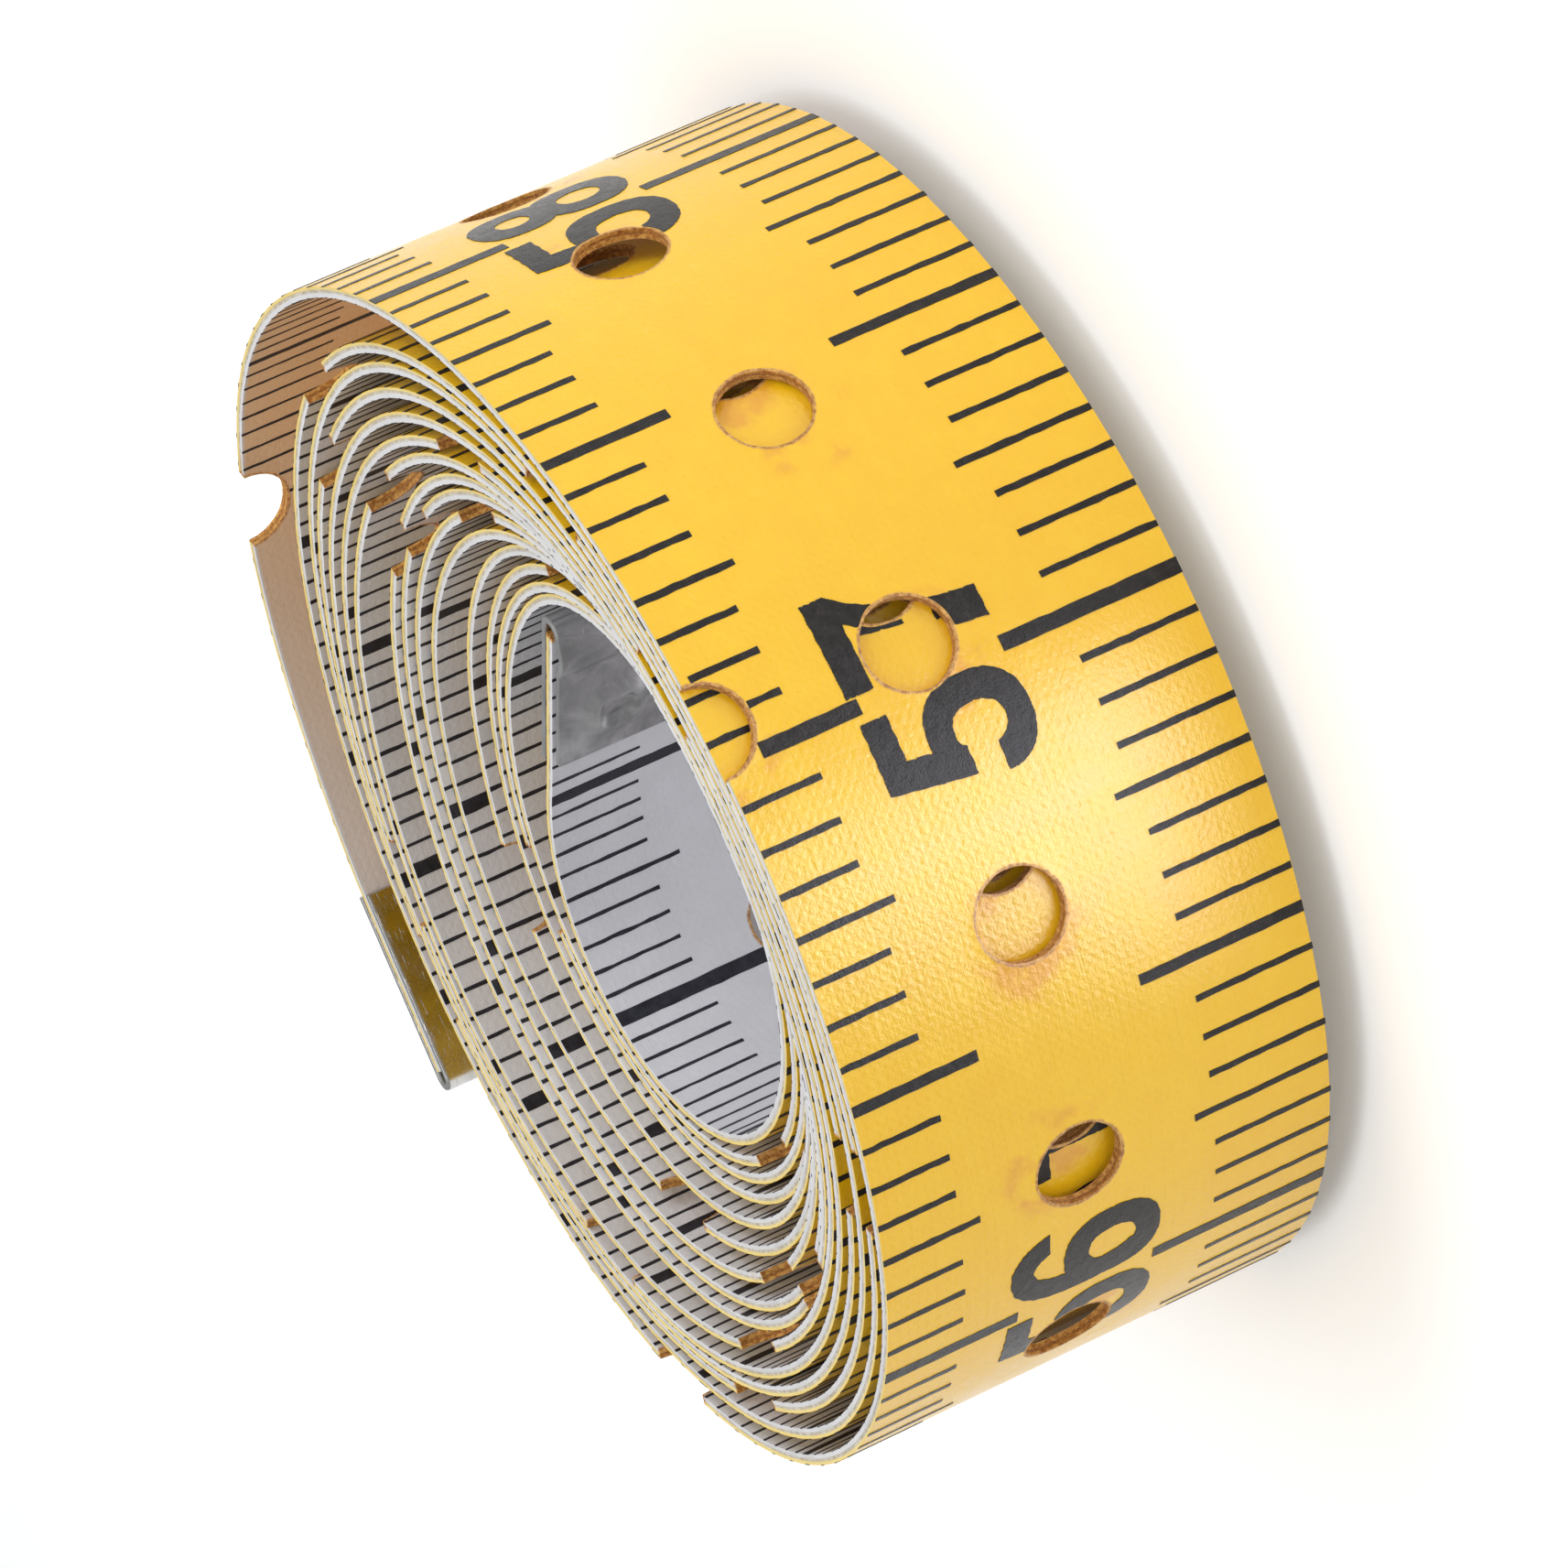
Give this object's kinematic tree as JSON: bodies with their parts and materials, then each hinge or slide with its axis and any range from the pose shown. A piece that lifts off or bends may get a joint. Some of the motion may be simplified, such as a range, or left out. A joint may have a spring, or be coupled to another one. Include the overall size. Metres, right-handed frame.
{
  "type": "cloth tape measure",
  "caption": "Rolled yellow cloth tape measure with a punched hole row, scallops on one edge, plain scales and a folded metal clip on each end.",
  "frame": {"origin": "centre of the box around the roll, on the surface that it lies on", "axes": "+Z along the roll's axis, towards the edge with the scallops; X and Y across the roll, the camera of the picture is on the -Y side"},
  "size_m": [0.0458, 0.046, 0.0195],
  "materials": {
    "tape": "yellow coated woven cloth with a white back, satin gloss, black printed scale",
    "clip_metal": "folded nickelled sheet, scuffed"
  },
  "bodies": {
    "core": {"tape_core_01": "tape", "tape_core_02": "tape", "tape_core_03": "tape", "tape_core_04": "tape", "tape_core_05": "tape", "tape_core_06": "tape", "tape_core_07": "tape", "tape_core_08": "tape", "tape_core_09": "tape", "tape_core_10": "tape", "tape_core_11": "tape", "tape_core_12": "tape", "tape_core_13": "tape", "tape_core_14": "tape", "tape_core_15": "tape", "tape_core_16": "tape"},
    "middle": {"tape_middle_01": "tape", "tape_middle_02": "tape", "tape_middle_03": "tape", "tape_middle_04": "tape", "tape_middle_05": "tape", "tape_middle_06": "tape", "tape_middle_07": "tape", "tape_middle_08": "tape", "tape_middle_09": "tape", "tape_middle_10": "tape", "tape_middle_11": "tape", "tape_middle_12": "tape"},
    "outer": {"tape_outer_01": "tape", "tape_outer_02": "tape", "tape_outer_03": "tape", "tape_outer_04": "tape", "tape_outer_05": "tape", "tape_outer_06": "tape", "tape_outer_07": "tape", "tape_outer_08": "tape", "tape_outer_09": "tape", "tape_outer_10": "tape", "tape_outer_11": "tape", "tape_outer_12": "tape", "tape_outer_13": "tape", "tape_outer_14": "tape", "tape_outer_15": "tape", "tape_outer_16": "tape", "tape_outer_17": "tape", "tape_outer_18": "tape", "tape_outer_19": "tape", "tape_outer_20": "tape", "tape_outer_21": "tape"},
    "zero_link": {"tape_zero_link": "tape"},
    "zero_end": {"tape_zero_end": "tape", "inner_end_clip": "clip_metal"},
    "tail_1": {"tape_tail_1": "tape"},
    "tail_2": {"tape_tail_2": "tape"},
    "tail_3": {"tape_tail_3": "tape"},
    "tail_4": {"tape_tail_4": "tape"},
    "tail_5": {"tape_tail_5": "tape", "outer_end_clip": "clip_metal"}
  },
  "joints": [
    {"name": "middle_telescope", "type": "slide", "parent": "core", "child": "middle", "axis": [0, 0, 1], "range_m": [-0.004, 0.004]},
    {"name": "outer_telescope", "type": "slide", "parent": "middle", "child": "outer", "axis": [0, 0, 1], "range_m": [-0.004, 0.004]},
    {"name": "zero_link_flex", "type": "hinge", "parent": "core", "child": "zero_link", "pos_m": [-0.0093, 0.00056, 0.0105], "axis": [0, 0, -1], "range_deg": [0, 12]},
    {"name": "zero_end_flex", "type": "hinge", "parent": "zero_link", "child": "zero_end", "pos_m": [-0.00066, 0.00357, 0.0105], "axis": [0, 0, -1], "range_deg": [0, 24]},
    {"name": "tail_peel_1", "type": "hinge", "parent": "outer", "child": "tail_1", "pos_m": [0.01764, -0.01354, 0.0105], "axis": [0, 0, -1], "range_deg": [0, 25]},
    {"name": "tail_peel_2", "type": "hinge", "parent": "tail_1", "child": "tail_2", "pos_m": [0.02199, -0.00463, 0.0105], "axis": [0, 0, -1], "range_deg": [0, 25]},
    {"name": "tail_peel_3", "type": "hinge", "parent": "tail_2", "child": "tail_3", "pos_m": [0.02231, 0.00529, 0.0105], "axis": [0, 0, -1], "range_deg": [0, 25]},
    {"name": "tail_peel_4", "type": "hinge", "parent": "tail_3", "child": "tail_4", "pos_m": [0.01844, 0.01441, 0.0105], "axis": [0, 0, -1], "range_deg": [0, 25]},
    {"name": "tail_peel_5", "type": "hinge", "parent": "tail_4", "child": "tail_5", "pos_m": [0.01062, 0.02044, 0.0105], "axis": [0, 0, -1], "range_deg": [0, 25]}
  ],
  "couplings": [
    {"joint": "outer_telescope", "follows": "middle_telescope", "ratio": 1},
    {"joint": "zero_end_flex", "follows": "zero_link_flex", "ratio": 2},
    {"joint": "tail_peel_2", "follows": "tail_peel_1", "ratio": 1},
    {"joint": "tail_peel_3", "follows": "tail_peel_1", "ratio": 1},
    {"joint": "tail_peel_4", "follows": "tail_peel_1", "ratio": 1},
    {"joint": "tail_peel_5", "follows": "tail_peel_1", "ratio": 1}
  ]
}
